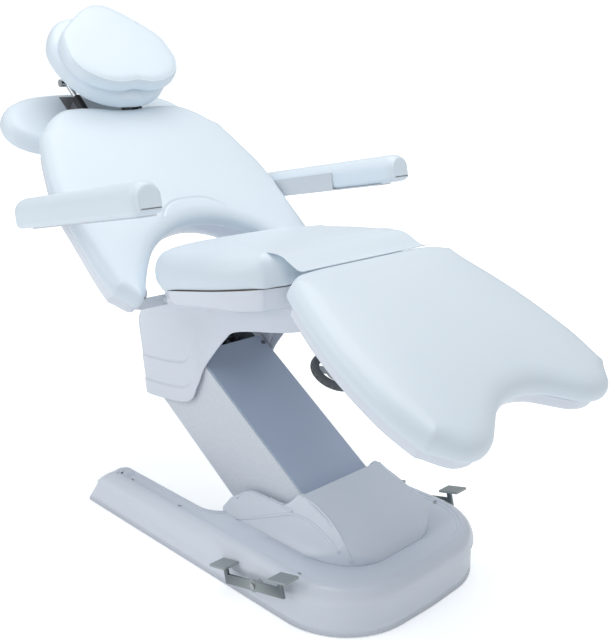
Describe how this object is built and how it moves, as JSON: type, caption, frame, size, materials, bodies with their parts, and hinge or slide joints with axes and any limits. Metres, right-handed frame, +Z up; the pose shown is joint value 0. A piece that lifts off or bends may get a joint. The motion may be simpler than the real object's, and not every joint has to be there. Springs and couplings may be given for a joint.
{
  "type": "massage bed",
  "caption": "Motor-lifted massage bed with a two-legged base, a leaning lift column, a tilting seat, a reclining back with head cushions, swing-up armrests and a split-foot leg rest.",
  "frame": {"origin": "on the floor, midway between the two sides, 546 mm in front of the rear ends of the base legs", "axes": "+X to the foot end, +Y to the sitter's left, +Z up"},
  "size_m": [1.7308, 0.9288, 1.4368],
  "materials": {
    "frame_paint": "satin",
    "frame_light": "satin",
    "floor_steel": "matte",
    "pin_steel": "polished",
    "rod_chrome": "polished",
    "cover_white": "gloss",
    "casing_white": "satin",
    "panel_grey": "satin",
    "pedal_paint": "satin",
    "black_plastic": "matte",
    "grey_plastic": "satin",
    "wheel_rubber": "matte",
    "board_wood": "matte",
    "upholstery": "gloss"
  },
  "bodies": {
    "base": {"base_plate": "floor_steel", "base_frame": "frame_paint", "lift_pivot_pins": "pin_steel", "base_cover": "cover_white", "column_cowl": "cover_white", "cover_screws": "pin_steel", "control_box": "black_plastic", "mains_inlet": "black_plastic", "pedal_bearings": "grey_plastic", "pedal_switches": "black_plastic"},
    "pedals": {"pedal_shaft": "pin_steel", "pedal_left": "pedal_paint", "pedal_right": "pedal_paint", "pedal_cam": "grey_plastic"},
    "lift_arm": {"lift_arm_frame": "frame_paint", "column_cover": "casing_white", "column_front_plate": "panel_grey", "column_rear_cover": "casing_white", "column_screws": "pin_steel", "lift_rod": "rod_chrome"},
    "upper_link": {"lift_link": "frame_paint"},
    "actuator": {"lift_motor": "black_plastic"},
    "carriage": {"carriage_frame": "frame_paint", "carriage_pins": "pin_steel"},
    "seat": {"seat_frame": "frame_light", "seat_pins": "pin_steel", "seat_skirt": "cover_white", "seat_tray": "cover_white", "seat_board": "board_wood", "seat_cushion": "upholstery", "bridge_flap": "upholstery"},
    "backrest": {"back_frame": "frame_light", "back_shell": "cover_white", "back_cushion": "upholstery", "headrest_guides": "black_plastic", "shelf_bracket": "frame_paint", "shelf_cushion": "upholstery", "armrest_mounts": "frame_paint"},
    "headrest_post": {"headrest_rods": "rod_chrome"},
    "headrest": {"headrest_plate": "frame_paint", "headrest_cushion": "upholstery", "head_pillow": "upholstery"},
    "clamp_knob": {"headrest_knob": "black_plastic"},
    "armrest_left": {"armrest_left_plate": "frame_light", "armrest_left_pad": "upholstery"},
    "armrest_right": {"armrest_right_plate": "frame_light", "armrest_right_pad": "upholstery"},
    "leg_rest": {"leg_frame": "frame_light", "leg_board": "cover_white", "leg_cushion": "upholstery", "wheel_bearing": "grey_plastic"},
    "hand_wheel": {"wheel_rim": "wheel_rubber", "wheel_hub": "grey_plastic"}
  },
  "joints": [
    {"name": "lift", "type": "hinge", "parent": "base", "child": "lift_arm", "pos_m": [0.094, 0, 0.095], "axis": [0, 1, 0], "range_deg": [-23.5, 8.5]},
    {"name": "lift_link_turn", "type": "hinge", "parent": "base", "child": "upper_link", "pos_m": [0.164, 0, 0.19], "axis": [0, 1, 0], "range_deg": [-23.5, 8.5]},
    {"name": "actuator_turn", "type": "hinge", "parent": "base", "child": "actuator", "pos_m": [0.02, 0, 0.04], "axis": [0, 1, 0], "range_deg": [-24, 9]},
    {"name": "carriage_level", "type": "hinge", "parent": "lift_arm", "child": "carriage", "pos_m": [-0.3563, 0, 0.39305], "axis": [0, 1, 0], "range_deg": [-8.5, 23.5]},
    {"name": "seat_tilt", "type": "hinge", "parent": "carriage", "child": "seat", "pos_m": [-0.0603, 0, 0.66505], "axis": [0, 1, 0], "range_deg": [0, 9]},
    {"name": "back_recline", "type": "hinge", "parent": "seat", "child": "backrest", "pos_m": [-0.26226, 0, 0.68409], "axis": [0, 1, 0], "range_deg": [-41, 25]},
    {"name": "leg_rest_lift", "type": "hinge", "parent": "seat", "child": "leg_rest", "pos_m": [0.29949, 0, 0.76506], "axis": [0, 1, 0], "range_deg": [-35, 45], "deforming": ["bridge_flap"]},
    {"name": "headrest_height", "type": "slide", "parent": "backrest", "child": "headrest_post", "axis": [-0.7564, 0, 0.6541], "range_m": [0, 0.04]},
    {"name": "headrest_tilt", "type": "hinge", "parent": "headrest_post", "child": "headrest", "pos_m": [-0.83386, 0, 1.21404], "axis": [0, 1, 0], "range_deg": [-40, 0]},
    {"name": "headrest_knob_turn", "type": "hinge", "parent": "headrest_post", "child": "clamp_knob", "pos_m": [-0.83386, 0, 1.21404], "axis": [0, 1, 0], "range_deg": [-180, 180]},
    {"name": "armrest_left_turn", "type": "hinge", "parent": "backrest", "child": "armrest_left", "pos_m": [-0.4907, 0.381, 0.88162], "axis": [0, 1, 0], "range_deg": [-75, 50]},
    {"name": "armrest_right_turn", "type": "hinge", "parent": "backrest", "child": "armrest_right", "pos_m": [-0.4907, -0.381, 0.88162], "axis": [0, 1, 0], "range_deg": [-75, 50]},
    {"name": "hand_wheel_turn", "type": "hinge", "parent": "leg_rest", "child": "hand_wheel", "pos_m": [0.4057, -0.19, 0.61553], "axis": [0.4485, 0, 0.8938], "continuous": true},
    {"name": "pedal_rock", "type": "hinge", "parent": "base", "child": "pedals", "pos_m": [0.265, 0, 0.073], "axis": [0, 1, 0], "range_deg": [-8, 8], "stiffness_Nm_per_rad": 25}
  ],
  "couplings": [
    {"joint": "lift_link_turn", "follows": "lift", "ratio": 1},
    {"joint": "actuator_turn", "follows": "lift", "ratio": 0.97},
    {"joint": "carriage_level", "follows": "lift", "ratio": -1}
  ]
}
